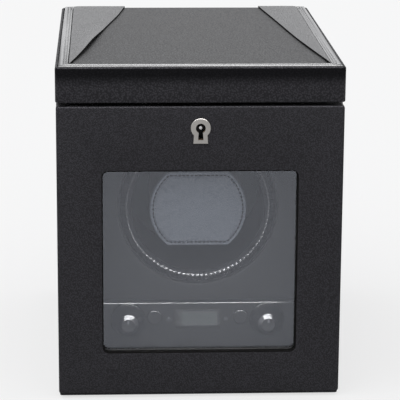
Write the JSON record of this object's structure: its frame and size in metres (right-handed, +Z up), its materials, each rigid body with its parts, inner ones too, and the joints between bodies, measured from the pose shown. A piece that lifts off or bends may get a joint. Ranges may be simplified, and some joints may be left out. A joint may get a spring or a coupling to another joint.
{
  "type": "watch winder box",
  "caption": "Leather-covered watch winder box with a hinged lid, a lockable drop-front door with a window, a winding drum with its cuff, knobs, buttons and a screen.",
  "frame": {"origin": "centre of the overall footprint, on the surface the feet stand on", "axes": "+Z up, -Y out of the door, +Y to the back, +X to the right seen from the front"},
  "size_m": [0.1556, 0.2125, 0.1868],
  "materials": {
    "leather": "satin pebble grain",
    "cuff_leather": "soft matte",
    "fibreboard": "raw",
    "suede": "brushed",
    "rubber_foot": "matte",
    "lead": "satin",
    "glass": "polished",
    "nickel": "satin",
    "steel": "brushed",
    "panel_plastic": "matte",
    "inner_plastic": "matte",
    "bezel_plastic": "gloss",
    "control_plastic": "gloss",
    "bushing": "turned",
    "motor_metal": "zinc",
    "screen": "matte",
    "lens": "polished",
    "light": "gloss",
    "circuit_board": "lacquer",
    "socket_plastic": "gloss"
  },
  "bodies": {
    "case": {"base_board": "fibreboard", "side_boards": "fibreboard", "back_board": "fibreboard", "case_leather": "leather", "base_cover": "leather", "rubber_feet": "rubber_foot", "case_lining": "suede", "power_jack": "socket_plastic", "case_hinge_leaves": "steel", "hinge_pins": "steel", "fascia": "panel_plastic", "control_console": "panel_plastic", "screen_lens": "lens", "screen_cell": "screen", "control_board": "circuit_board", "switch_bodies": "inner_plastic", "indicator_lights": "light", "bearing_plates": "inner_plastic", "drum_bushes": "bushing", "chassis_tray": "inner_plastic", "drum_shroud": "inner_plastic", "gearbox_case": "inner_plastic", "motor_can": "motor_metal", "deck_panel": "panel_plastic", "wiring": "lead", "case_screws": "steel"},
    "lid": {"lid_board": "fibreboard", "lid_rails": "fibreboard", "lid_leather": "leather", "lid_border": "leather", "lid_field": "leather", "lid_left_flap": "leather", "lid_right_flap": "leather", "lid_lining": "suede", "strike_plate": "steel", "lid_hinge_leaves": "steel", "lid_screws": "steel"},
    "door": {"door_board": "fibreboard", "door_leather": "leather", "door_glass": "glass", "glass_gasket": "rubber_foot", "door_lining": "suede", "escutcheon": "nickel", "lock_case": "steel", "lock_screws": "steel"},
    "bolt": {"lock_bolt": "steel"},
    "drum": {"drum_cup": "inner_plastic", "drum_bezel": "bezel_plastic", "drum_shaft": "steel", "drum_gear": "inner_plastic"},
    "pinion": {"motor_pinion": "steel"},
    "cuff": {"cuff_pad": "cuff_leather", "cuff_core": "inner_plastic", "cuff_springs": "steel"},
    "slider": {"cuff_slider": "inner_plastic"},
    "left_knob_body": {"left_knob": "control_plastic"},
    "right_knob_body": {"right_knob": "control_plastic"},
    "left_button_body": {"left_button": "control_plastic"},
    "right_button_body": {"right_button": "control_plastic"}
  },
  "joints": [
    {"name": "lid_hinge", "type": "hinge", "parent": "case", "child": "lid", "pos_m": [0, 0.10365, 0.1654], "axis": [-1, 0, 0], "range_deg": [0, 100]},
    {"name": "door_hinge", "type": "hinge", "parent": "case", "child": "door", "pos_m": [0, -0.10535, 0.0015], "axis": [1, 0, 0], "range_deg": [0, 90]},
    {"name": "bolt_slide", "type": "slide", "parent": "door", "child": "bolt", "axis": [0, 0, 1], "range_m": [0, 0.005]},
    {"name": "drum_spin", "type": "hinge", "parent": "case", "child": "drum", "pos_m": [0, 0, 0.1014], "axis": [0, 1, 0], "continuous": true},
    {"name": "pinion_spin", "type": "hinge", "parent": "case", "child": "pinion", "pos_m": [0, 0, 0.0639], "axis": [0, 1, 0], "continuous": true},
    {"name": "cuff_pull", "type": "slide", "parent": "drum", "child": "cuff", "axis": [0, -1, 0], "range_m": [0, 0.012]},
    {"name": "cuff_squeeze", "type": "slide", "parent": "cuff", "child": "slider", "axis": [0, 0, 1], "range_m": [0, 0.004], "stiffness_N_per_m": 300, "springref_m": -0.004, "deforming": ["cuff_springs"]},
    {"name": "left_knob_turn", "type": "hinge", "parent": "case", "child": "left_knob_body", "pos_m": [-0.039, 0, 0.038], "axis": [0, 1, 0], "range_deg": [-135, 135]},
    {"name": "right_knob_turn", "type": "hinge", "parent": "case", "child": "right_knob_body", "pos_m": [0.039, 0, 0.038], "axis": [0, 1, 0], "range_deg": [-135, 135]},
    {"name": "left_button_press", "type": "slide", "parent": "case", "child": "left_button_body", "axis": [0, 1, 0], "range_m": [0, 0.0008], "stiffness_N_per_m": 400, "springref_m": -0.002},
    {"name": "right_button_press", "type": "slide", "parent": "case", "child": "right_button_body", "axis": [0, 1, 0], "range_m": [0, 0.0008], "stiffness_N_per_m": 400, "springref_m": -0.002}
  ],
  "couplings": [
    {"joint": "pinion_spin", "follows": "drum_spin", "ratio": -4}
  ]
}
